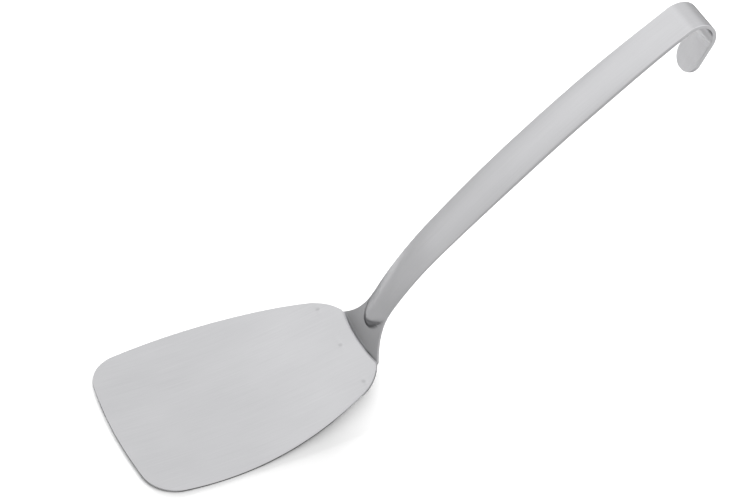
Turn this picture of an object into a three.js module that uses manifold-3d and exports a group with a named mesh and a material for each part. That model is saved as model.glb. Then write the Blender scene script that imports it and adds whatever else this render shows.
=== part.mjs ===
// A stainless steel spatula: a thin rolled blade, spot welded on top of the flat tongue of a pressed
// strip handle, which turns up steeply at the blade's heel, arches back and ends in a hanging hook.
// Millimetres, +Z up, +X from the blade towards the handle, Y across.
// The origin is in the middle of the underside of the part's box.

import * as THREE from "three";
import { mergeVertices } from "three/addons/utils/BufferGeometryUtils.js";
import Module from "manifold-3d";

const wasm = await Module();
wasm.setup();

const { degToRad, smoothstep, clamp } = THREE.MathUtils;

// Blade sheet, drawn flat. Distances run along the sheet and are zero at the heel corners.
const bladeLength = 131;
const bladeWidth = 99.4;
const bladeThickness = 1;
const widestFromHeel = 89.5;
const heelWidth = 40.6;
const sideRadius = 190;
const frontCornerRadius = 19;
const shoulderRadius = 27;
const crossBow = 1.9; // the front edge and the heel edge both bow forward by this much
const bladeEdgeRadius = 0.25;

// Roll of the blade: an arc from the front, then a straight stretch that carries the welds.
const rollRadius = 400;
const flatHeelLength = 32;
const heelTilt = degToRad(9);

// Handle strip, from the tongue under the blade to the tip of the hook.
const stripThickness = 2;
const tongueThickness = 1;
const stripEdgeRadius = 0.2;
const tongueLength = 19;
const tongueInset = 0.1;
const tongueCornerRadius = 7;
const heelBendRadius = 0.8;
const footAngle = degToRad(60.5);
const footLength = 10.9;
const neckRadius = 165;
const gripStartAngle = degToRad(41.5);
const gripRadius = 805;
const gripEndAngle = degToRad(30.1);
const hookRadius = 11.3;
const hookLegAngle = degToRad(-118.5);
const hookLegLength = 20.6;

// Width of the strip: it narrows from the heel to the neck, then swells to the grip.
const flareLength = 24;
const flarePower = 2.25;
const neckWidth = 17.4;
const gripWidth = 21.8;
const gripFromNeck = 105;
const hookWidth = 20.4;
const hookTaperLength = 60;
const tipWidth = 17.2;
const tipCornerRadius = 8.2;

// Raised crown pressed into the strip. It starts at the foot as a rounded nose, which is higher than the
// rest of it, and fades at the hook.
const crownHeight = 1.1;
const noseHeight = 2.4;
const noseFromHeel = 9.6;
const noseRadius = 4.5;
const noseRise = 4.5;
const noseSteepness = 2; // the higher, the more of the rise comes right at the nose's outline
const noseFade = 40;
const crownFade = 45;

// Spot welds in one row across the lap.
const weldFromHeel = 10.4;
const weldFromSide = 4.8;
const weldRadius = 2.5;
const weldShoulder = 0.6;
const weldRise = 0.4;
const weldDrop = 0.5;
const markRadius = 1.6;
const markDepth = 0.15;

// Clearances.
const lapGap = 0.1;
const heelGap = 0.15;
const heelEndGap = 0.2; // the strip's bend stands this far from the blade at both ends of the heel
const weldGap = 0.05;

// Fineness of the facets: across the sheets, round the welds, and along each stretch of an outline.
const bladeCrossSteps = 12;
const stripCrossSteps = 14;
const roundSteps = 24;
const markSteps = 3;
const frontCornerSteps = 9;
const sideSteps = 14;
const shoulderSteps = 8;
const tongueCornerSteps = 5;
const tongueSteps = 6;
const heelBendSteps = 4;
const noseSteps = 22;
const neckSteps = 9;
const gripSteps = 11;
const hookSteps = 16;
const legSteps = 2;
const tipSteps = 7;

const steelFinish = { color: 0xc8c8ca, roughness: 0.38, metalness: 1 };
const weldFinish = { color: 0xa9a9ab, roughness: 0.55, metalness: 1 };

// A point on a line bent out of straight stretches and arcs in the XZ plane.
function walk(run, step) {
  const angle = run.angle + (run.turn * step) / run.length;
  if (run.turn === 0) {
    return {
      x: run.x + step * Math.cos(angle),
      z: run.z + step * Math.sin(angle),
      angle,
    };
  }
  const radius = run.length / run.turn;
  return {
    x: run.x + radius * (Math.sin(angle) - Math.sin(run.angle)),
    z: run.z + radius * (Math.cos(run.angle) - Math.cos(angle)),
    angle,
  };
}

function bentLine(start, pieces) {
  const runs = [];
  let here = start;
  for (const piece of pieces) {
    const run = { ...here, ...piece };
    runs.push(run);
    here = { ...walk(run, run.length), distance: run.distance + run.length };
  }
  const end = here.distance;
  const at = (distance) => {
    const run = runs.findLast((r) => distance >= r.distance) ?? runs[0];
    return walk(run, distance - run.distance);
  };
  return { at, runs, end };
}

// Evenly spaced values from one number to another, both included.
function spread(from, to, steps) {
  return Array.from({ length: steps + 1 }, (_, i) => from + ((to - from) * i) / steps);
}

// The places along a line that divide an arc evenly, where the arc stands over that line.
function spreadOnArc(centre, radius, from, to, steps) {
  const angleOf = (place) => Math.acos(clamp((place - centre) / radius, -1, 1));
  return spread(angleOf(from), angleOf(to), steps).map((angle) => centre + radius * Math.cos(angle));
}

// Stretches joined into one row, without repeating the place where two of them meet.
function inOneRow(...stretches) {
  return stretches.flatMap((stretch, i) => (i === 0 ? stretch : stretch.slice(1)));
}

// Half of the blade's outline: a corner arc, a long side arc and a shoulder arc, each tangent to the next.
const side = new THREE.Vector2(-widestFromHeel, bladeWidth / 2 - sideRadius);
const corner = new THREE.Vector2(frontCornerRadius - bladeLength, 0);
corner.y = side.y + Math.sqrt((sideRadius - frontCornerRadius) ** 2 - (corner.x - side.x) ** 2);
const heelCorner = new THREE.Vector2(0, heelWidth / 2);
const shoulder = shoulderCentre();
const cornerEnd = tangentPlace(corner);
const shoulderStart = tangentPlace(shoulder);

// The arc that passes through the heel corner and runs smoothly into the side arc.
function shoulderCentre() {
  const toHeel = heelCorner.clone().sub(side);
  const span = toHeel.length();
  const reach = sideRadius - shoulderRadius;
  const along = (reach ** 2 - shoulderRadius ** 2 + span ** 2) / (2 * span);
  const across = Math.sqrt(reach ** 2 - along ** 2);
  const direction = toHeel.normalize();
  const forward = new THREE.Vector2(-direction.y, direction.x);
  return side.clone().addScaledVector(direction, along).addScaledVector(forward, across);
}

function tangentPlace(centre) {
  const direction = centre.clone().sub(side).normalize();
  return side.x + sideRadius * direction.x;
}

function bladeHalfWidth(distance) {
  const arcHeight = (centre, radius) =>
    centre.y + Math.sqrt(Math.max(radius ** 2 - (distance - centre.x) ** 2, 0));
  if (distance < cornerEnd) {
    return arcHeight(corner, frontCornerRadius);
  }
  if (distance < shoulderStart) {
    return arcHeight(side, sideRadius);
  }
  return arcHeight(shoulder, shoulderRadius);
}

// The blade's top face, seen from the side.
const rolledLength = bladeLength + crossBow - flatHeelLength;
const bladeLine = bentLine(
  { x: 0, z: 0, angle: heelTilt - rolledLength / rollRadius, distance: -bladeLength - crossBow },
  [
    { length: rolledLength, turn: rolledLength / rollRadius },
    { length: flatHeelLength, turn: 0 },
  ],
);

// The strip's top face, seen from the side. It starts flat against the blade's underside.
const tongueStart = offsetFrom(bladeLine.at(-tongueLength), -bladeThickness - lapGap);
const heelTurn = footAngle - heelTilt;
const neckTurn = gripStartAngle - footAngle;
const gripTurn = gripEndAngle - gripStartAngle;
const hookTurn = hookLegAngle - gripEndAngle;
const stripLine = bentLine({ ...tongueStart, distance: -tongueLength }, [
  { length: tongueLength + heelGap, turn: 0 },
  { length: heelBendRadius * heelTurn, turn: heelTurn },
  { length: footLength, turn: 0 },
  { length: -neckRadius * neckTurn, turn: neckTurn },
  { length: -gripRadius * gripTurn, turn: gripTurn },
  { length: -hookRadius * hookTurn, turn: hookTurn },
  { length: hookLegLength, turn: 0 },
]);
const [, heelBend, foot, , grip, hook, leg] = stripLine.runs;

// A point moved off a bent line, square to it.
function offsetFrom(point, height) {
  return {
    x: point.x - height * Math.sin(point.angle),
    z: point.z + height * Math.cos(point.angle),
    angle: point.angle,
  };
}

// How much narrower a rounded corner makes a strip, at a distance in from its end.
function cornerLoss(radius, fromEnd) {
  if (fromEnd >= radius) {
    return 0;
  }
  return radius - Math.sqrt(Math.max(radius ** 2 - (radius - fromEnd) ** 2, 0));
}

function stripHalfWidth(distance) {
  if (distance <= 0) {
    const loss = cornerLoss(tongueCornerRadius, distance + tongueLength);
    return bladeHalfWidth(distance) - tongueInset - loss;
  }
  const heelHalf = heelWidth / 2 - tongueInset;
  const flare = Math.max(1 - distance / flareLength, 0) ** flarePower;
  const swell = Math.sin((Math.PI / 2) * clamp((distance - flareLength) / gripFromNeck, 0, 1));
  const taper = smoothstep(distance, hook.distance - hookTaperLength, hook.distance);
  const curl = clamp((distance - hook.distance) / (stripLine.end - hook.distance), 0, 1);
  const half =
    neckWidth / 2 +
    (heelHalf - neckWidth / 2) * flare +
    ((gripWidth - neckWidth) / 2) * swell -
    ((gripWidth - hookWidth) / 2) * taper -
    ((hookWidth - tipWidth) / 2) * curl;
  return half - cornerLoss(tipCornerRadius, stripLine.end - distance);
}

// The strip is pressed thinner at the tongue and has its full thickness where the grip is widest.
function stripThicknessAt(distance) {
  const share = smoothstep(distance, flareLength, flareLength + gripFromNeck);
  return tongueThickness + (stripThickness - tongueThickness) * share;
}

// Height of the pressed crown over the strip's edges.
function crown(distance, y, half) {
  const inside = distance - noseFromHeel - y ** 2 / (2 * noseRadius);
  if (inside <= 0) {
    return 0;
  }
  const nose = 1 - Math.max(1 - inside / noseRise, 0) ** noseSteepness;
  const fade = 1 - smoothstep(distance, hook.distance - crownFade, hook.distance);
  const settled = smoothstep(distance, noseFromHeel + noseRise, noseFromHeel + noseRise + noseFade);
  const height = noseHeight + (crownHeight - noseHeight) * settled;
  return height * nose * fade * (1 - (y / half) ** 2);
}

// Outline of a sheet's cross section with rounded edges. Each point and its mirror image on the other
// face stand at opposite ends of the list.
function sheetSection(half, thickness, edgeRadius, steps) {
  const diagonal = edgeRadius * Math.SQRT1_2;
  const flatHalf = half - edgeRadius;
  const upper = [
    { y: -half, depth: edgeRadius },
    { y: -flatHalf - diagonal, depth: edgeRadius - diagonal },
    ...spread(-flatHalf, flatHalf, steps).map((y) => ({ y, depth: 0 })),
    { y: flatHalf + diagonal, depth: edgeRadius - diagonal },
    { y: half, depth: edgeRadius },
  ];
  const lower = upper.map(({ y, depth }) => ({ y, depth: thickness - depth }));
  return [...upper, ...lower.reverse()];
}

// A closed skin over a row of sections with the same number of points each.
function loft(sections) {
  const count = sections[0].length;
  const positions = sections.flat().flatMap((point) => [point.x, point.y, point.z]);
  const faces = [];
  const quad = (a, b, c, d) => faces.push(a, c, b, a, d, c);
  for (let i = 0; i + 1 < sections.length; i++) {
    for (let k = 0; k < count; k++) {
      const next = (k + 1) % count;
      quad(i * count + k, i * count + next, (i + 1) * count + next, (i + 1) * count + k);
    }
  }
  const last = (sections.length - 1) * count;
  for (let k = 0; k + 1 < count / 2; k++) {
    const across = count - 1 - k;
    quad(k, across, across - 1, k + 1);
    quad(last + k, last + k + 1, last + across - 1, last + across);
  }
  const geometry = new THREE.BufferGeometry();
  geometry.setAttribute("position", new THREE.Float32BufferAttribute(positions, 3));
  geometry.setIndex(faces);
  return geometry;
}

// The cross lines of the blade bow forward, as its front and heel edges do.
function bladeGeometry() {
  const distances = inOneRow(
    spreadOnArc(corner.x, frontCornerRadius, -bladeLength, cornerEnd, frontCornerSteps),
    spread(cornerEnd, shoulderStart, sideSteps),
    spreadOnArc(shoulder.x, shoulderRadius, shoulderStart, 0, shoulderSteps),
  );
  const sections = distances.map((distance) => {
    const half = bladeHalfWidth(distance);
    const section = sheetSection(half, bladeThickness, bladeEdgeRadius, bladeCrossSteps);
    return section.map(({ y, depth }) => {
      const bowed = distance - crossBow * (1 - (y / half) ** 2);
      const { x, z } = offsetFrom(bladeLine.at(bowed), -depth);
      return new THREE.Vector3(x, y, z);
    });
  });
  return loft(sections);
}

// The tongue and the foot bow forward with the blade's heel edge. The bow is gone at the neck.
function handleGeometry() {
  const tongueCorner = tongueCornerRadius - tongueLength;
  const crownTop = noseFromHeel + noseRise + (neckWidth / 2) ** 2 / (2 * noseRadius);
  const tip = stripLine.end - tipCornerRadius;
  const distances = inOneRow(
    spreadOnArc(tongueCorner, tongueCornerRadius, -tongueLength, tongueCorner, tongueCornerSteps),
    spread(tongueCorner, heelBend.distance, tongueSteps),
    spread(heelBend.distance, foot.distance, heelBendSteps),
    spread(foot.distance, crownTop, noseSteps),
    spread(crownTop, grip.distance, neckSteps),
    spread(grip.distance, hook.distance, gripSteps),
    spread(hook.distance, leg.distance, hookSteps),
    spread(leg.distance, tip, legSteps),
    spreadOnArc(tip, tipCornerRadius, tip, stripLine.end, tipSteps),
  );
  const sections = distances.map((distance) => {
    const half = stripHalfWidth(distance);
    const centre = stripLine.at(distance);
    const bow = 1 - smoothstep(distance, heelGap, flareLength);
    const thickness = stripThicknessAt(distance);
    const section = sheetSection(half, thickness, stripEdgeRadius, stripCrossSteps);
    return section.map(({ y, depth }) => {
      const endShare = (y / half) ** 2;
      const forward = bow * (crossBow * (1 - endShare) - (heelEndGap - heelGap) * endShare);
      const { x, z } = offsetFrom(centre, crown(distance, y, half) - depth);
      return new THREE.Vector3(x - forward * Math.cos(heelTilt), y, z - forward * Math.sin(heelTilt));
    });
  });
  return loft(sections);
}

function solidOf(geometry) {
  const bare = geometry.clone();
  bare.deleteAttribute("normal");
  bare.deleteAttribute("uv");
  const merged = mergeVertices(bare);
  return new wasm.Manifold(
    new wasm.Mesh({
      numProp: 3,
      vertProperties: merged.attributes.position.array,
      triVerts: new Uint32Array(merged.index.array),
    }),
  );
}

function geometryOf(solid) {
  const mesh = solid.getMesh();
  const geometry = new THREE.BufferGeometry();
  geometry.setAttribute("position", new THREE.BufferAttribute(mesh.vertProperties, 3));
  geometry.setIndex(new THREE.BufferAttribute(mesh.triVerts, 1));
  geometry.computeVertexNormals();
  return geometry;
}

// A turned piece whose axis stands square to the lap, at a weld, at a height over the blade's top face.
function atWeld(geometry, y, height) {
  const seat = bladeLine.at(-weldFromHeel);
  const { x, z } = offsetFrom(seat, height);
  return geometry
    .clone()
    .rotateX(Math.PI / 2)
    .rotateY(-seat.angle)
    .translate(x, y, z);
}

function turned(profile) {
  const points = profile.map(([radius, height]) => new THREE.Vector2(radius, height));
  return new THREE.LatheGeometry(points, roundSteps);
}

// A weld nugget, slightly domed on both sides, from its lower to its upper face.
function nugget(radius, low, high) {
  return turned([
    [0, low],
    [radius - weldShoulder, low],
    [radius, (low + high) / 2],
    [radius - weldShoulder, high],
    [0, high],
  ]);
}

// A tool for the shallow round mark that the welding tip leaves: a flat dome, point down.
function markTool() {
  const dome = spread(0, markRadius, markSteps).map((r) => [r, -markDepth * (1 - (r / markRadius) ** 2)]);
  return turned([...dome, [markRadius, markRadius], [0, markRadius]]);
}

const lapTop = -bladeThickness;
const lapBottom = -bladeThickness - lapGap;
const stripBottom = lapBottom - tongueThickness;
const weldPitch = stripHalfWidth(-weldFromHeel) - weldFromSide;
const weldRows = { left: weldPitch, middle: 0, right: -weldPitch };

let blade = solidOf(bladeGeometry());
let handle = solidOf(handleGeometry());
const pocketTool = nugget(weldRadius + weldGap, lapBottom - weldDrop - weldGap, lapTop + weldRise + weldGap);
const underMark = markTool().rotateX(Math.PI);
for (const y of Object.values(weldRows)) {
  const pocket = solidOf(atWeld(pocketTool, y, 0));
  blade = blade.subtract(pocket).subtract(solidOf(atWeld(markTool(), y, 0)));
  handle = handle.subtract(pocket).subtract(solidOf(atWeld(underMark, y, stripBottom)));
}

function piece(name, geometry, finish) {
  const mesh = new THREE.Mesh(geometry, new THREE.MeshStandardMaterial(finish));
  mesh.name = name;
  return mesh;
}

const assembly = new THREE.Group();
assembly.add(piece("blade", geometryOf(blade), steelFinish));
assembly.add(piece("handle", geometryOf(handle), steelFinish));
for (const [row, y] of Object.entries(weldRows)) {
  const weld = atWeld(nugget(weldRadius, lapBottom - weldDrop, lapTop + weldRise), y, 0);
  assembly.add(piece(`spot_weld_${row}`, weld, weldFinish));
}

// Set down on its lowest line, with the origin under the middle of its box.
const box = new THREE.Box3().setFromObject(assembly);
const middle = box.getCenter(new THREE.Vector3());
assembly.position.set(-middle.x, -middle.y, -box.min.z);

const spatula = new THREE.Group();
spatula.add(assembly);

export default spatula;
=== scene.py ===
"""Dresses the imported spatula: the blade and the strip handle are drawn again, finer and with rounded edges,
in satin steel, and stand on a pale floor in soft light. Sizes are in millimetres, meshes in metres."""

import math

import bpy
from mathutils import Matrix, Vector


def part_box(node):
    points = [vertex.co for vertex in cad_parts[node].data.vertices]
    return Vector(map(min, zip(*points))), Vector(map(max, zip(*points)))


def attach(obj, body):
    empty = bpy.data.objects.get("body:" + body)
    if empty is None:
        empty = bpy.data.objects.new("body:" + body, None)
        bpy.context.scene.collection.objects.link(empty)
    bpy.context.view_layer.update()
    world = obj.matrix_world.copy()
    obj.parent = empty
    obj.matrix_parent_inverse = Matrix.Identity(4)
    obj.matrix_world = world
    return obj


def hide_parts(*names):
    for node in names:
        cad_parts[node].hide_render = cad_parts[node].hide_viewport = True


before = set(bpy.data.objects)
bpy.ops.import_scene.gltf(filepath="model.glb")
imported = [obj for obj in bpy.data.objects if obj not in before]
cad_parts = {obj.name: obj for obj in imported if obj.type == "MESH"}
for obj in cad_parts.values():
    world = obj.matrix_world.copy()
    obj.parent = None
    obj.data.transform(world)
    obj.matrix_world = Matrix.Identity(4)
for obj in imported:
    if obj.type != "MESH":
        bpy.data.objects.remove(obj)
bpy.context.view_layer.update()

MM = 0.001

# Blade sheet, drawn flat. Distances run along the sheet and are zero at the heel corners.
BLADE_LENGTH = 131.0
BLADE_WIDTH = 99.4
BLADE_THICKNESS = 1.0
WIDEST_FROM_HEEL = 89.5
HEEL_WIDTH = 40.6
SIDE_RADIUS = 190.0
FRONT_CORNER_RADIUS = 19.0
SHOULDER_RADIUS = 27.0
CROSS_BOW = 1.9
BLADE_EDGE_RADIUS = 0.25
ROLL_RADIUS = 400.0
FLAT_HEEL_LENGTH = 32.0
HEEL_TILT = math.radians(9)

# Handle strip, from the tongue under the blade to the tip of the hook.
STRIP_THICKNESS = 2.0
TONGUE_THICKNESS = 1.0
STRIP_EDGE_RADIUS = 0.2
TONGUE_LENGTH = 19.0
TONGUE_INSET = 0.1
TONGUE_CORNER_RADIUS = 7.0
HEEL_BEND_RADIUS = 0.8
FOOT_ANGLE = math.radians(60.5)
FOOT_LENGTH = 10.9
NECK_RADIUS = 165.0
GRIP_START_ANGLE = math.radians(41.5)
GRIP_RADIUS = 805.0
GRIP_END_ANGLE = math.radians(30.1)
HOOK_RADIUS = 11.3
HOOK_LEG_ANGLE = math.radians(-118.5)
HOOK_LEG_LENGTH = 20.6
FLARE_LENGTH = 24.0
FLARE_POWER = 2.25
NECK_WIDTH = 17.4
GRIP_WIDTH = 21.8
GRIP_FROM_NECK = 105.0
HOOK_WIDTH = 20.4
HOOK_TAPER_LENGTH = 60.0
TIP_WIDTH = 17.2
TIP_CORNER_RADIUS = 8.2
CROWN_HEIGHT = 1.1
NOSE_HEIGHT = 2.4
NOSE_FROM_HEEL = 9.6
NOSE_RADIUS = 4.5
NOSE_RISE = 4.5
NOSE_STEEPNESS = 2.0
NOSE_FADE = 40.0
CROWN_FADE = 45.0

# Weld marks in the two outer faces of the lap, and the clearances.
WELD_FROM_HEEL = 10.4
WELD_FROM_SIDE = 4.8
MARK_RADIUS = 1.6
MARK_DEPTH = 0.15
LAP_GAP = 0.1
HEEL_GAP = 0.15
HEEL_END_GAP = 0.2

# Fineness of the meshes, in millimetres or in steps.
COARSE = 2.0
FINE = 0.4
MARK_MARGIN = 2.4
EDGE_STEPS = 4
EDGE_SHARE = 0.985

# Grain coordinates: each kind of face has its own range across the grain.
UNDERSIDE_SHIFT = 300.0
RIM_SHIFT = 600.0
CAP_SHIFT = 900.0


def smoothstep(value, low, high):
    share = min(max((value - low) / (high - low), 0.0), 1.0)
    return share * share * (3 - 2 * share)


def spread(start, stop, step):
    """Evenly spaced values from start to stop, both included, about a step apart."""
    count = max(round(abs(stop - start) / step), 1)
    return [start + (stop - start) * i / count for i in range(count + 1)]


def spread_on_arc(centre, radius, start, stop, step):
    """Places from start to stop that divide an arc standing over them evenly."""
    def angle_of(place):
        return math.acos(min(max((place - centre) / radius, -1.0), 1.0))
    angles = spread(angle_of(start), angle_of(stop), step / radius)
    return [centre + radius * math.cos(angle) for angle in angles]


def in_order(*stretches):
    """All places of several stretches in rising order, without those that all but coincide."""
    row = []
    for place in sorted(place for stretch in stretches for place in stretch):
        if not row or place - row[-1] > FINE / 4:
            row.append(place)
    return row


class BentLine:
    """A line of straight stretches and arcs in the XZ plane, measured by the distance along it."""

    def __init__(self, x, z, angle, distance, pieces):
        self.runs = []
        for length, turn in pieces:
            run = (distance, x, z, angle, length, turn)
            self.runs.append(run)
            x, z, angle = self.walk(run, length)
            distance += length
        self.starts = [run[0] for run in self.runs]
        self.end = distance

    @staticmethod
    def walk(run, step):
        _, x, z, angle, length, turn = run
        now = angle + turn * step / length
        if turn == 0:
            return x + step * math.cos(now), z + step * math.sin(now), now
        radius = length / turn
        return (x + radius * (math.sin(now) - math.sin(angle)),
                z + radius * (math.cos(angle) - math.cos(now)), now)

    def at(self, distance):
        passed = [run for run in self.runs if distance >= run[0]]
        run = passed[-1] if passed else self.runs[0]
        return self.walk(run, distance - run[0])


def off_line(point, height):
    x, z, angle = point
    return x - height * math.sin(angle), z + height * math.cos(angle)


# Half of the blade's outline: a corner arc, a long side arc and a shoulder arc, each tangent to the next.
side = Vector((-WIDEST_FROM_HEEL, BLADE_WIDTH / 2 - SIDE_RADIUS))
corner_x = FRONT_CORNER_RADIUS - BLADE_LENGTH
corner_rise = math.sqrt((SIDE_RADIUS - FRONT_CORNER_RADIUS) ** 2 - (corner_x - side.x) ** 2)
corner = Vector((corner_x, side.y + corner_rise))


def shoulder_centre():
    """Centre of the arc that passes through the heel corner and runs smoothly into the side arc."""
    to_heel = Vector((0, HEEL_WIDTH / 2)) - side
    span = to_heel.length
    reach = SIDE_RADIUS - SHOULDER_RADIUS
    along = (reach ** 2 - SHOULDER_RADIUS ** 2 + span ** 2) / (2 * span)
    across = math.sqrt(reach ** 2 - along ** 2)
    direction = to_heel.normalized()
    return side + direction * along + Vector((-direction.y, direction.x)) * across


shoulder = shoulder_centre()
corner_end = side.x + SIDE_RADIUS * (corner - side).normalized().x
shoulder_start = side.x + SIDE_RADIUS * (shoulder - side).normalized().x


def blade_half_width(distance):
    if distance < corner_end:
        centre, radius = corner, FRONT_CORNER_RADIUS
    elif distance < shoulder_start:
        centre, radius = side, SIDE_RADIUS
    else:
        centre, radius = shoulder, SHOULDER_RADIUS
    return centre.y + math.sqrt(max(radius ** 2 - (distance - centre.x) ** 2, 0.0))


# The top faces of the blade and of the strip, seen from the side.
rolled_length = BLADE_LENGTH + CROSS_BOW - FLAT_HEEL_LENGTH
roll_turn = rolled_length / ROLL_RADIUS
blade_line = BentLine(0.0, 0.0, HEEL_TILT - roll_turn, -BLADE_LENGTH - CROSS_BOW,
                      [(rolled_length, roll_turn), (FLAT_HEEL_LENGTH, 0.0)])

heel_turn = FOOT_ANGLE - HEEL_TILT
neck_turn = GRIP_START_ANGLE - FOOT_ANGLE
grip_turn = GRIP_END_ANGLE - GRIP_START_ANGLE
hook_turn = HOOK_LEG_ANGLE - GRIP_END_ANGLE
strip_line = BentLine(
    *off_line(blade_line.at(-TONGUE_LENGTH), -BLADE_THICKNESS - LAP_GAP), HEEL_TILT, -TONGUE_LENGTH,
    [
        (TONGUE_LENGTH + HEEL_GAP, 0.0),
        (HEEL_BEND_RADIUS * heel_turn, heel_turn),
        (FOOT_LENGTH, 0.0),
        (-NECK_RADIUS * neck_turn, neck_turn),
        (-GRIP_RADIUS * grip_turn, grip_turn),
        (-HOOK_RADIUS * hook_turn, hook_turn),
        (HOOK_LEG_LENGTH, 0.0),
    ])
_, heel_bend_start, foot_start, _, grip_start, hook_start, leg_start = strip_line.starts
tip_start = strip_line.end - TIP_CORNER_RADIUS


def corner_loss(radius, from_end):
    """How much narrower a rounded corner makes a strip, at a distance in from its end."""
    if from_end >= radius:
        return 0.0
    return radius - math.sqrt(max(radius ** 2 - (radius - from_end) ** 2, 0.0))


def strip_half_width(distance):
    if distance <= 0:
        loss = corner_loss(TONGUE_CORNER_RADIUS, distance + TONGUE_LENGTH)
        return blade_half_width(distance) - TONGUE_INSET - loss
    neck_half = NECK_WIDTH / 2
    flare = max(1 - distance / FLARE_LENGTH, 0.0) ** FLARE_POWER
    swell = math.sin(math.pi / 2 * min(max((distance - FLARE_LENGTH) / GRIP_FROM_NECK, 0.0), 1.0))
    taper = smoothstep(distance, hook_start - HOOK_TAPER_LENGTH, hook_start)
    curl = max((distance - hook_start) / (strip_line.end - hook_start), 0.0)
    half = (neck_half
            + (HEEL_WIDTH / 2 - TONGUE_INSET - neck_half) * flare
            + (GRIP_WIDTH - NECK_WIDTH) / 2 * swell
            - (GRIP_WIDTH - HOOK_WIDTH) / 2 * taper
            - (HOOK_WIDTH - TIP_WIDTH) / 2 * curl)
    return half - corner_loss(TIP_CORNER_RADIUS, strip_line.end - distance)


def strip_thickness(distance):
    share = smoothstep(distance, FLARE_LENGTH, FLARE_LENGTH + GRIP_FROM_NECK)
    return TONGUE_THICKNESS + (STRIP_THICKNESS - TONGUE_THICKNESS) * share


def crown(distance, y, half):
    """Height of the pressed crown over the strip's edges."""
    inside = distance - NOSE_FROM_HEEL - y ** 2 / (2 * NOSE_RADIUS)
    if inside <= 0:
        return 0.0
    nose = 1 - max(1 - inside / NOSE_RISE, 0.0) ** NOSE_STEEPNESS
    fade = 1 - smoothstep(distance, hook_start - CROWN_FADE, hook_start)
    nose_top = NOSE_FROM_HEEL + NOSE_RISE
    settled = smoothstep(distance, nose_top, nose_top + NOSE_FADE)
    height = NOSE_HEIGHT + (CROWN_HEIGHT - NOSE_HEIGHT) * settled
    return height * nose * fade * (1 - (y / half) ** 2)


weld_pitch = strip_half_width(-WELD_FROM_HEEL) - WELD_FROM_SIDE
weld_places = (-weld_pitch, 0.0, weld_pitch)


def mark_depth(distance, y):
    """Depth of the shallow round marks that the welding tips leave."""
    reach = min(math.hypot(distance + WELD_FROM_HEEL, y - place) for place in weld_places)
    return MARK_DEPTH * max(1 - (reach / MARK_RADIUS) ** 2, 0.0)


def columns(half_at_welds, even_step):
    """Shares of the half width where a sheet has points, closer together round the weld marks."""
    near_welds = [[(place + step) / half_at_welds for step in spread(-MARK_MARGIN, MARK_MARGIN, FINE)]
                  for place in weld_places]
    inner = in_order(spread(-1.0, 1.0, even_step), *near_welds)
    return [-EDGE_SHARE, *(share for share in inner if abs(share) < EDGE_SHARE), EDGE_SHARE, 1.0]


def sheet_section(half, thickness, radius, shares):
    """Points (y, depth) round a sheet's cross section, first its upper and then its lower side."""
    flat_half = half - radius
    angles = [math.pi / 2 * i / EDGE_STEPS for i in range(EDGE_STEPS)]
    edge = [(flat_half + radius * math.cos(angle), radius * (1 - math.sin(angle))) for angle in angles]
    upper = [(-y, depth) for y, depth in edge]
    upper += [(share * flat_half, 0.0) for share in shares]
    upper += reversed(edge)
    return upper + [(y, thickness - depth) for y, depth in reversed(upper)]


def rounded_ends(distances, radius):
    """Pairs (distance, inset): near both ends the section is thinned to round the end's edges."""
    first, last = distances[0], distances[-1]
    angles = [math.pi / 2 * i / EDGE_STEPS for i in range(EDGE_STEPS + 1)]
    curve = [(radius * (1 - math.cos(angle)), radius * (1 - math.sin(angle))) for angle in angles]
    middle = [(d, 0.0) for d in distances if first + radius < d < last - radius]
    return ([(first + reach, inset) for reach, inset in curve] + middle
            + [(last - reach, inset) for reach, inset in reversed(curve)])


def sheet_mesh(name, rows, shares, place):
    """A closed skin over the sections in rows, each (distance, inset, half, thickness, radius).
    place(distance, y, depth, half, thickness) gives a point. The grain runs along the distance."""
    points, grain, sections = [], [], []
    for distance, inset, half, thickness, radius in rows:
        section = [(y, min(max(depth, inset), thickness - inset))
                   for y, depth in sheet_section(half, thickness, radius, shares)]
        sections.append([(distance, y, depth) for y, depth in section])
        points += [place(distance, y, depth, half, thickness) for y, depth in section]

    count = len(sections[0])
    upper_count = count // 2
    last = len(sections) - 1
    faces = []

    def grain_of(row, k, shift, across):
        distance, y, depth = sections[row][k]
        return (distance, shift + (depth if across == "depth" else across * y))

    def add(corners, shift, across):
        faces.append([row * count + k for row, k in corners])
        grain.extend(grain_of(row, k, shift, across) for row, k in corners)

    flat_first, flat_last = EDGE_STEPS, upper_count - EDGE_STEPS - 1
    for row in range(last):
        for k in range(count):
            after = (k + 1) % count
            corners = [(row, k), (row + 1, k), (row + 1, after), (row, after)]
            if flat_first <= k < flat_last:
                add(corners, 0.0, 1)
            elif flat_first <= k - upper_count < flat_last:
                add(corners, UNDERSIDE_SHIFT, 1)
            else:
                add(corners, RIM_SHIFT, "depth")
    for k in range(upper_count - 1):
        over = count - 1 - k
        add([(0, k), (0, k + 1), (0, over - 1), (0, over)], CAP_SHIFT, 1)
        add([(last, k), (last, over), (last, over - 1), (last, k + 1)], CAP_SHIFT, 1)

    mesh = bpy.data.meshes.new(name)
    mesh.from_pydata(points, [], faces)
    layer = mesh.uv_layers.new(name="grain")
    layer.data.foreach_set("uv", [value for pair in grain for value in pair])
    mesh.polygons.foreach_set("use_smooth", [True] * len(mesh.polygons))
    mesh.validate()
    mesh.update()
    return mesh


def weld_rows():
    """Rows close together where the bowed cross lines pass the weld marks."""
    return spread(-WELD_FROM_HEEL - MARK_MARGIN, CROSS_BOW - WELD_FROM_HEEL + MARK_MARGIN, FINE)


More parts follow.
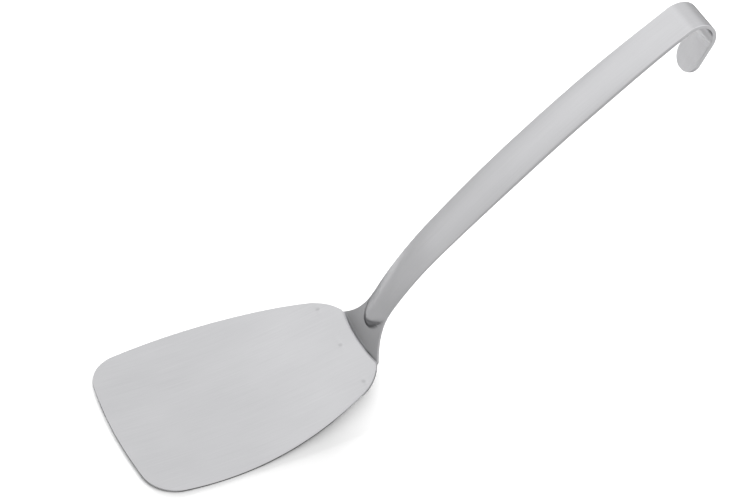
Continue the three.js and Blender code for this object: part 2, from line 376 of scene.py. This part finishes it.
def blade_mesh():
    distances = in_order(
        spread_on_arc(corner.x, FRONT_CORNER_RADIUS, -BLADE_LENGTH, corner_end, COARSE / 2),
        spread(corner_end, shoulder_start, COARSE),
        spread_on_arc(shoulder.x, SHOULDER_RADIUS, shoulder_start, 0.0, COARSE / 2),
        weld_rows(),
    )
    rows = [(distance, inset, blade_half_width(distance), BLADE_THICKNESS, BLADE_EDGE_RADIUS)
            for distance, inset in rounded_ends(distances, BLADE_EDGE_RADIUS)]

    def place(distance, y, depth, half, _):
        bowed = distance - CROSS_BOW * (1 - (y / half) ** 2)
        sunk = mark_depth(bowed, y) if depth == 0 else 0.0
        x, z = off_line(blade_line.at(bowed), -depth - sunk)
        return Vector((x, y, z))

    shares = columns(blade_half_width(-WELD_FROM_HEEL), COARSE / (BLADE_WIDTH / 2))
    return sheet_mesh("satin_blade", rows, shares, place)


def handle_mesh():
    tongue_corner = TONGUE_CORNER_RADIUS - TONGUE_LENGTH
    nose_end = NOSE_FROM_HEEL + NOSE_RISE + (NECK_WIDTH / 2) ** 2 / (2 * NOSE_RADIUS)
    distances = in_order(
        spread_on_arc(tongue_corner, TONGUE_CORNER_RADIUS, -TONGUE_LENGTH, tongue_corner, COARSE / 2),
        spread(tongue_corner, heel_bend_start, COARSE),
        weld_rows(),
        spread(heel_bend_start, foot_start, COARSE / 8),
        spread(foot_start, nose_end, COARSE / 8),
        spread(nose_end, hook_start, COARSE),
        spread(hook_start, leg_start, COARSE / 3),
        spread(leg_start, tip_start, COARSE),
        spread_on_arc(tip_start, TIP_CORNER_RADIUS, tip_start, strip_line.end, COARSE / 3),
    )
    rows = [(distance, inset, strip_half_width(distance), strip_thickness(distance), STRIP_EDGE_RADIUS)
            for distance, inset in rounded_ends(distances, STRIP_EDGE_RADIUS)]

    def place(distance, y, depth, half, thickness):
        bow = 1 - smoothstep(distance, HEEL_GAP, FLARE_LENGTH)
        end_share = (y / half) ** 2
        forward = bow * (CROSS_BOW * (1 - end_share) - (HEEL_END_GAP - HEEL_GAP) * end_share)
        risen = mark_depth(distance - forward, y) if depth == thickness else 0.0
        x, z = off_line(strip_line.at(distance), crown(distance, y, half) - depth + risen)
        return Vector((x - forward * math.cos(HEEL_TILT), y, z - forward * math.sin(HEEL_TILT)))

    tongue_half = strip_half_width(-WELD_FROM_HEEL)
    return sheet_mesh("satin_handle", rows, columns(tongue_half, FINE / (NECK_WIDTH / 2)), place)


def lowest(mesh, axis):
    return min(vertex.co[axis] for vertex in mesh.vertices)


# Steel. Each layer of the grain has its name, its length and width in millimetres and its detail.
GRAIN_LAYERS = (("Grain", 26.0, 0.35, 3.0), ("Streaks", 50.0, 0.9, 2.0), ("Clouds", 45.0, 26.0, 2.0))
NOISE_ROUGHNESS = 0.55
STEEL_DARK = (0.41, 0.41, 0.42, 1)
STEEL_LIGHT = (0.49, 0.49, 0.50, 1)
STEEL_ROUGHNESS = (0.33, 0.26)
EDGE_TINT = (0.3, 0.3, 0.3, 1)
STREAK_RELIEF = 0.6
RELIEF_DEPTH = 0.02 * MM
BLADE_CONTRAST = (0.7, 0.35, 0.6)
BLADE_RELIEF = 0.12
STRIP_CONTRAST = (0.6, 0.4, 0.5)
STRIP_RELIEF = 0.08
WELD_DARK = (0.30, 0.30, 0.31, 1)
WELD_LIGHT = (0.50, 0.50, 0.51, 1)
WELD_ROUGHNESS = (0.45, 0.65)
WELD_MOTTLE = 900.0
WELD_DETAIL = 3.0

# How much painted shade or marks darken the steel's colour, or painted light brightens it, in some places,
# and where these begin and end, in millimetres.
STRIP_TONES = {"Foot": 0.26, "Crease": 0.62, "Bend": 0.55, "Inside": 0.6, "Leg": 0.16, "Rim": 0.22}
CREASE_EDGE = (-0.3, 0.2)
CREASE_TOP = 0.6 * NOSE_RISE
BEND_FADE = 1.4
BEND_NEAR_END = (-12.0, -7.0)
INSIDE_FROM_LEG = (4.5, 7.5)
LEG_SHADE_START = (-0.5, 0.8)
LEG_SHADE_END = (2.0, 5.0)
BLADE_TONES = {"Mark": 0.16, "Side": 0.65, "Shoulder": 0.8}
MARK_CORE = MARK_RADIUS / 5
LOW_RIM = 0.75 * BLADE_THICKNESS


# Groups put out colours and values only, and each material has its own shader.
def add_node(tree, kind, links=None, **settings):
    """A node with its settings, and its inputs set to values or joined to other nodes' outputs."""
    node = tree.nodes.new(kind)
    for name, value in settings.items():
        setattr(node, name, value)
    for name, value in (links or {}).items():
        if isinstance(value, bpy.types.NodeSocket):
            tree.links.new(value, node.inputs[name])
        else:
            node.inputs[name].default_value = value
    return node


def math_node(tree, operation, *values):
    return add_node(tree, "ShaderNodeMath", dict(enumerate(values)), operation=operation).outputs[0]


def product(tree, first, *others):
    for factor in others:
        first = math_node(tree, "MULTIPLY", first, factor)
    return first


def map_range(tree, value, start, stop, first, last):
    """A smooth change from first to last while the value runs from start to stop."""
    node = add_node(tree, "ShaderNodeMapRange",
                    {"Value": value, "From Min": start, "From Max": stop, "To Min": first, "To Max": last},
                    interpolation_type="SMOOTHSTEP")
    return node.outputs["Result"]


def distance_from(tree, place, middle):
    node = add_node(tree, "ShaderNodeVectorMath", {0: place, 1: middle}, operation="DISTANCE")
    return node.outputs["Value"]


def parts_of(tree, vector):
    return add_node(tree, "ShaderNodeSeparateXYZ", {"Vector": vector}).outputs


def streaks(tree, vector, along, across, detail):
    """Noise drawn out along the grain: features about these many millimetres long and wide."""
    stretched = add_node(tree, "ShaderNodeMapping", {"Vector": vector, "Scale": (1 / along, 1 / across, 1)})
    noise = add_node(tree, "ShaderNodeTexNoise",
                     {"Vector": stretched.outputs["Vector"], "Scale": 1.0, "Detail": detail,
                      "Roughness": NOISE_ROUGHNESS})
    return noise.outputs["Fac"]


def new_group(name, inputs, outputs):
    """A shader node group with named sockets, and its input and output nodes."""
    group = bpy.data.node_groups.new(name, "ShaderNodeTree")
    for label, kind, value in inputs:
        socket = group.interface.new_socket(label, in_out="INPUT", socket_type=kind)
        if value is not None:
            socket.default_value = value
    for label, kind in outputs:
        group.interface.new_socket(label, in_out="OUTPUT", socket_type=kind)
    return group, group.nodes.new("NodeGroupInput").outputs, group.nodes.new("NodeGroupOutput").inputs


def satin_grain_group():
    """Fine grain, longer streaks and cloudiness of satin steel, each centred on zero."""
    group, given, out = new_group(
        "Satin grain",
        [("Grain place", "NodeSocketVector", None)],
        [(layer[0], "NodeSocketFloat") for layer in GRAIN_LAYERS],
    )
    place = given["Grain place"]
    for label, along, across, detail in GRAIN_LAYERS:
        centred = math_node(group, "SUBTRACT", streaks(group, place, along, across, detail), 0.5)
        group.links.new(centred, out[label])
    return group


grain_group = satin_grain_group()


def new_tone_group(name, amounts):
    """A group that takes a place in the grain and some amounts, and puts out the steel's tone there."""
    inputs = [("Grain place", "NodeSocketVector", None)]
    inputs += [(label, "NodeSocketFloat", amount) for label, amount in amounts.items()]
    return new_group(name, inputs, [("Tone", "NodeSocketFloat")])


def strip_tone_group():
    """Painted shade, a little on the pressed foot, more in the crease at the nose's lower edge, and where the
    hook's bend meets its leg; painted light in most of the heel bend, inside the hook's bend and on the
    hook's rim."""
    group, given, out = new_tone_group("Strip painted shade and light", STRIP_TONES)
    place = parts_of(group, given["Grain place"])
    along, across = place["X"], place["Y"]

    # Painted shade: the steel is darker on the pressed foot, most of all in the crease at the nose's lower
    # edge.
    arch = product(group, math_node(group, "POWER", across, 2.0), 0.5 / NOSE_RADIUS)
    from_nose = math_node(group, "SUBTRACT", math_node(group, "SUBTRACT", along, NOSE_FROM_HEEL), arch)
    foot = product(group, map_range(group, from_nose, 0.0, CREASE_TOP, 1.0, 0.0),
                   map_range(group, along, HEEL_GAP, FLARE_LENGTH, 1.0, 0.0))
    crease = product(group, map_range(group, from_nose, *CREASE_EDGE, 0.0, 1.0), given["Crease"])
    painted_foot_and_crease_shade = product(group, foot, math_node(group, "ADD", crease, given["Foot"]))

    # Painted light: most of the heel bend, all but its near end, is brightened to lighten the shade in its
    # corner.
    painted_bend_light = product(group, given["Bend"],
                   map_range(group, along, heel_bend_start - FINE, foot_start, 0.0, 1.0),
                   map_range(group, along, foot_start, foot_start + BEND_FADE, 1.0, 0.0),
                   map_range(group, across, *BEND_NEAR_END, 0.0, 1.0),
                   map_range(group, across, HEEL_WIDTH, UNDERSIDE_SHIFT / 2, 1.0, 0.0))
    tone = math_node(group, "SUBTRACT", math_node(group, "ADD", painted_bend_light, 1.0), painted_foot_and_crease_shade)

    # Painted light inside the hook's bend, and painted shade on that face where the bend meets the straight
    # leg.
    from_leg = math_node(group, "SUBTRACT", leg_start, along)
    painted_hook_light = product(group, map_range(group, from_leg, *INSIDE_FROM_LEG, 0.0, 1.0), given["Inside"])
    painted_leg_shade = product(group, map_range(group, from_leg, *LEG_SHADE_START, 0.0, 1.0), given["Leg"],
                       map_range(group, from_leg, *LEG_SHADE_END, 1.0, 0.0))
    underside = math_node(group, "SUBTRACT", painted_hook_light, painted_leg_shade)
    # On the hook these go on the bend's inner face, and painted light goes on the rim.
    on_hook = map_range(group, along, hook_start - HOOK_RADIUS, hook_start, 0.0, 1.0)
    for shift, change in ((UNDERSIDE_SHIFT, underside), (RIM_SHIFT, given["Rim"])):
        on_face = math_node(group, "COMPARE", across, shift, HEEL_WIDTH)
        tone = math_node(group, "ADD", tone, product(group, on_face, on_hook, change))
    group.links.new(tone, out["Tone"])
    return group


def blade_tone_group():
    """Darker in the three weld marks; painted shade on the low part of the sheared sides, and painted light
    round the shoulders.
    """
    group, given, out = new_tone_group("Blade marks, painted shade and light", BLADE_TONES)
    place = parts_of(group, given["Grain place"])
    marks = 0.0
    half = blade_half_width(-WELD_FROM_HEEL)
    for y in weld_places:
        middle = Vector((CROSS_BOW * (1 - (y / half) ** 2) - WELD_FROM_HEEL, y, 0))
        reach = distance_from(group, given["Grain place"], middle)
        mark = map_range(group, reach, MARK_CORE, MARK_RADIUS, 1.0, 0.0)
        marks = math_node(group, "MAXIMUM", marks, mark)
    tone = math_node(group, "SUBTRACT", 1.0, product(group, marks, given["Mark"]))

    # Painted shade on the low part of the sheared sides from the front corners to the shoulders, and painted
    # light on it round the shoulders.
    past_corner = map_range(group, place["X"], corner.x - FRONT_CORNER_RADIUS / 2, corner_end, 0.0, 1.0)
    to_shoulder = map_range(group, place["X"], shoulder_start - SHOULDER_RADIUS, shoulder_start, 1.0, 0.0)
    painted_side_shade = product(group, past_corner, to_shoulder, given["Side"])
    painted_shoulder_light = product(group, math_node(group, "SUBTRACT", 1.0, to_shoulder), given["Shoulder"])
    low_rim = math_node(group, "COMPARE", place["Y"], RIM_SHIFT + BLADE_THICKNESS, LOW_RIM)
    rim = product(group, low_rim, math_node(group, "SUBTRACT", painted_side_shade, painted_shoulder_light))
    group.links.new(math_node(group, "SUBTRACT", tone, rim), out["Tone"])
    return group


def new_metal(name):
    """A material with a metal shader, and its node tree and shader inputs."""
    material = bpy.data.materials.new(name)
    material.use_nodes = True
    inputs = material.node_tree.nodes["Principled BSDF"].inputs
    inputs["Metallic"].default_value = 1.0
    return material, material.node_tree, inputs


def blend(tree, share, dark, light):
    node = add_node(tree, "ShaderNodeMix", {"Factor": share}, data_type="RGBA")
    node.inputs["A"].default_value = dark
    node.inputs["B"].default_value = light
    return node.outputs["Result"]


def set_roughness(tree, share, ends, inputs):
    rough = add_node(tree, "ShaderNodeMapRange", {"Value": share, "To Min": ends[0], "To Max": ends[1]})
    tree.links.new(rough.outputs["Result"], inputs["Roughness"])


def satin_steel(name, contrast, strength, tone_group):
    """Satin steel: the colour runs from dark to light and the roughness varies with the grain.
    The tone group scales the colour from place to place, with marks, painted shade and painted light."""
    material, tree, inputs = new_metal(name)
    place = add_node(tree, "ShaderNodeUVMap", uv_map="grain").outputs["UV"]
    grain = add_node(tree, "ShaderNodeGroup", node_tree=grain_group)
    local = add_node(tree, "ShaderNodeGroup", node_tree=tone_group)
    for node in (grain, local):
        tree.links.new(place, node.inputs["Grain place"])

    share = 0.5
    for layer, amount in zip(GRAIN_LAYERS, contrast):
        share = math_node(tree, "ADD", share, product(tree, grain.outputs[layer[0]], amount))
    colour = blend(tree, share, STEEL_DARK, STEEL_LIGHT)
    toned = add_node(tree, "ShaderNodeVectorMath", {0: colour, "Scale": local.outputs["Tone"]},
                     operation="SCALE")
    tree.links.new(toned.outputs["Vector"], inputs["Base Color"])
    set_roughness(tree, share, STEEL_ROUGHNESS, inputs)

    height = math_node(tree, "ADD", grain.outputs["Grain"],
                       product(tree, grain.outputs["Streaks"], STREAK_RELIEF))
    relief = add_node(tree, "ShaderNodeBump",
                      {"Height": height, "Strength": strength, "Distance": RELIEF_DEPTH})
    tree.links.new(relief.outputs["Normal"], inputs["Normal"])
    inputs["Specular Tint"].default_value = EDGE_TINT
    return material


def dress(mesh, node, material):
    """Shows a finer mesh in place of a CAD node, in the same body."""
    piece = bpy.data.objects.new(mesh.name, mesh)
    bpy.context.scene.collection.objects.link(piece)
    mesh.materials.append(material)
    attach(piece, "root")
    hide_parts(node)


blade = blade_mesh()
handle = handle_mesh()
cad_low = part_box("blade")[0]
home = Vector((cad_low.x / MM - lowest(blade, 0), 0, cad_low.z / MM - lowest(blade, 2)))
for mesh in (blade, handle):
    for vertex in mesh.vertices:
        vertex.co = (vertex.co + home) * MM
    mesh.update()

blade_steel = satin_steel("blade_steel", BLADE_CONTRAST, BLADE_RELIEF, blade_tone_group())
handle_steel = satin_steel("handle_steel", STRIP_CONTRAST, STRIP_RELIEF, strip_tone_group())
dress(blade, "blade", blade_steel)
dress(handle, "handle", handle_steel)


def weld_steel():
    """Dull, mottled steel of the weld nuggets."""
    material, tree, inputs = new_metal("weld_steel")
    place = add_node(tree, "ShaderNodeTexCoord").outputs["Object"]
    mottle = add_node(tree, "ShaderNodeTexNoise",
                      {"Vector": place, "Scale": WELD_MOTTLE, "Detail": WELD_DETAIL}).outputs["Fac"]
    tree.links.new(blend(tree, mottle, WELD_DARK, WELD_LIGHT), inputs["Base Color"])
    set_roughness(tree, mottle, WELD_ROUGHNESS, inputs)
    return material


nugget_steel = weld_steel()
for name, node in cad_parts.items():
    if name.startswith("spot_weld"):
        node.data.materials.clear()
        node.data.materials.append(nugget_steel)

# Floor, light and camera.
BACK_DIRECTION = Vector((0.0, 0.90, 0.30))
BACK_DISTANCE = 2.2
BACK_SIZE = (1.6, 0.9)
BACK_POWER = 84.0
FRONT_DIRECTION = Vector((0.25, -0.55, 0.80))
FRONT_DISTANCE = 2.2
FRONT_SIZE = (1.5, 1.5)
FRONT_POWER = 36.0
SKY_LOW = 0.90
SKY_HIGH = 1.25
SKY_LOW_RISE = -0.1
SKY_HIGH_RISE = 0.6
SKY_RIGHT = 0.24
GLOW = 0.40
GLOW_DIRECTION = Vector((-0.34, 0.64, 0.70))
GLOW_EDGE = 0.84
FLOOR_HALF = 8.0
# Painted shadow: the floor's colour to the eye is darker by the blade's near edge and paler further off.
FLOOR_SEEN_NEAR = 0.47
FLOOR_SEEN_FAR = 0.66
NEAR_EDGE = Vector((-98, -52, 0)) * MM
NEAR_EDGE_REACH = (24 * MM, 78 * MM)
# Painted reflection: the floor that the steel reflects is darker than the floor seen, darker towards the
# front and darkest in a patch near the blade.
FLOOR_REFLECTED_FRONT = 0.40
FLOOR_REFLECTED_BACK = 0.90
FLOOR_FRONT = 50 * MM
FLOOR_BACK = 600 * MM
FLOOR_PATCH = 0.04
PATCH_MIDDLE = Vector((-290, 210, 0)) * MM
PATCH_RADIUS = 270 * MM
CAMERA_PLACE = Vector((-445.05, -902.0, 1065.7)) * MM
CAMERA_BACK = Vector((-0.30219, -0.63928, 0.70711))
CAMERA_LENS = 139.2


def make_floor():
    """A pale floor that takes the shadow. To the eye it is a little less pale by the blade's near edge, a
    painted shadow there, and paler further off, which paints the shadows there lighter; it shows darker in
    reflections than to the eye, with a painted dark patch."""
    mesh = bpy.data.meshes.new("floor")
    corners = [(-FLOOR_HALF, -FLOOR_HALF), (FLOOR_HALF, -FLOOR_HALF), (FLOOR_HALF, FLOOR_HALF),
               (-FLOOR_HALF, FLOOR_HALF)]
    mesh.from_pydata([(x, y, 0) for x, y in corners], [], [(0, 1, 2, 3)])
    floor = bpy.data.objects.new("floor", mesh)
    bpy.context.scene.collection.objects.link(floor)

    material = bpy.data.materials.new("floor_paper")
    material.use_nodes = True
    tree = material.node_tree
    tree.nodes.clear()
    path = tree.nodes.new("ShaderNodeLightPath")
    spot = add_node(tree, "ShaderNodeTexCoord").outputs["Object"]
    from_edge = distance_from(tree, spot, NEAR_EDGE)
    # Painted shadow: the floor's colour is darker by the blade's near edge, and paler further off to lighten
    # the shadows there.
    paper_with_painted_shadow = map_range(tree, from_edge, *NEAR_EDGE_REACH, FLOOR_SEEN_NEAR, FLOOR_SEEN_FAR)
    seen = add_node(tree, "ShaderNodeBsdfDiffuse", {"Color": paper_with_painted_shadow})
    depth = parts_of(tree, spot)["Y"]
    pale = add_node(tree, "ShaderNodeMapRange",
                    {"Value": depth, "From Min": FLOOR_FRONT, "From Max": FLOOR_BACK,
                     "To Min": FLOOR_REFLECTED_FRONT, "To Max": FLOOR_REFLECTED_BACK})
    # Painted reflection: a dark patch near the blade, seen only in reflections.
    from_patch = distance_from(tree, spot, PATCH_MIDDLE)
    tone = map_range(tree, from_patch, 0.0, PATCH_RADIUS, FLOOR_PATCH, pale.outputs["Result"])
    reflected = add_node(tree, "ShaderNodeBsdfDiffuse", {"Color": tone})
    shown = add_node(tree, "ShaderNodeMixShader", {"Fac": path.outputs["Is Camera Ray"]})
    tree.links.new(reflected.outputs["BSDF"], shown.inputs[1])
    tree.links.new(seen.outputs["BSDF"], shown.inputs[2])
    output = tree.nodes.new("ShaderNodeOutputMaterial")
    tree.links.new(shown.outputs["Shader"], output.inputs["Surface"])
    mesh.materials.append(material)


def make_sky():
    """White to the eye. As a light it is dim near the horizon, a little brighter on the right, and has one
    broad glow like that of a softbox."""
    world = bpy.data.worlds.new("studio")
    bpy.context.scene.world = world
    world.use_nodes = True
    tree = world.node_tree
    tree.nodes.clear()
    ray = add_node(tree, "ShaderNodeTexCoord").outputs["Generated"]
    way = parts_of(tree, ray)
    rise = map_range(tree, way["Z"], SKY_LOW_RISE, SKY_HIGH_RISE, SKY_LOW, SKY_HIGH)
    facing = add_node(tree, "ShaderNodeVectorMath", {0: ray, 1: GLOW_DIRECTION.normalized()},
                      operation="DOT_PRODUCT")
    glow = map_range(tree, facing.outputs["Value"], GLOW_EDGE, 1.0, 0.0, GLOW)
    slant = product(tree, way["X"], SKY_RIGHT)
    level = math_node(tree, "ADD", math_node(tree, "ADD", rise, slant), glow)
    lit = add_node(tree, "ShaderNodeBackground", {"Strength": level})
    white = add_node(tree, "ShaderNodeBackground")
    for background in (lit, white):
        background.inputs["Color"].default_value = (1, 1, 1, 1)
    path = tree.nodes.new("ShaderNodeLightPath")
    shown = add_node(tree, "ShaderNodeMixShader", {"Fac": path.outputs["Is Camera Ray"]})
    tree.links.new(lit.outputs["Background"], shown.inputs[1])
    tree.links.new(white.outputs["Background"], shown.inputs[2])
    output = tree.nodes.new("ShaderNodeOutputWorld")
    tree.links.new(shown.outputs["Shader"], output.inputs["Surface"])


def make_light(name, direction, distance, size, power):
    """A softbox that faces the middle of the floor."""
    light = bpy.data.lights.new(name, "AREA")
    light.shape = "RECTANGLE"
    light.size, light.size_y = size
    light.energy = power
    lamp = bpy.data.objects.new(name, light)
    lamp.location = direction.normalized() * distance
    lamp.rotation_mode = "QUATERNION"
    lamp.rotation_quaternion = (-direction).to_track_quat("-Z", "Y")
    bpy.context.scene.collection.objects.link(lamp)
    return lamp


def make_camera():
    data = bpy.data.cameras.new("camera")
    data.lens = CAMERA_LENS
    camera = bpy.data.objects.new("camera", data)
    camera.location = CAMERA_PLACE
    camera.rotation_mode = "QUATERNION"
    camera.rotation_quaternion = (-CAMERA_BACK).to_track_quat("-Z", "Y")
    bpy.context.scene.collection.objects.link(camera)
    bpy.context.scene.camera = camera


make_floor()
make_sky()
back = make_light("back light", BACK_DIRECTION, BACK_DISTANCE, BACK_SIZE, BACK_POWER)
front = make_light("front light", FRONT_DIRECTION, FRONT_DISTANCE, FRONT_SIZE, FRONT_POWER)
for lamp in (back, front):
    lamp.visible_glossy = False
make_camera()
bpy.context.scene.view_settings.view_transform = "Standard"
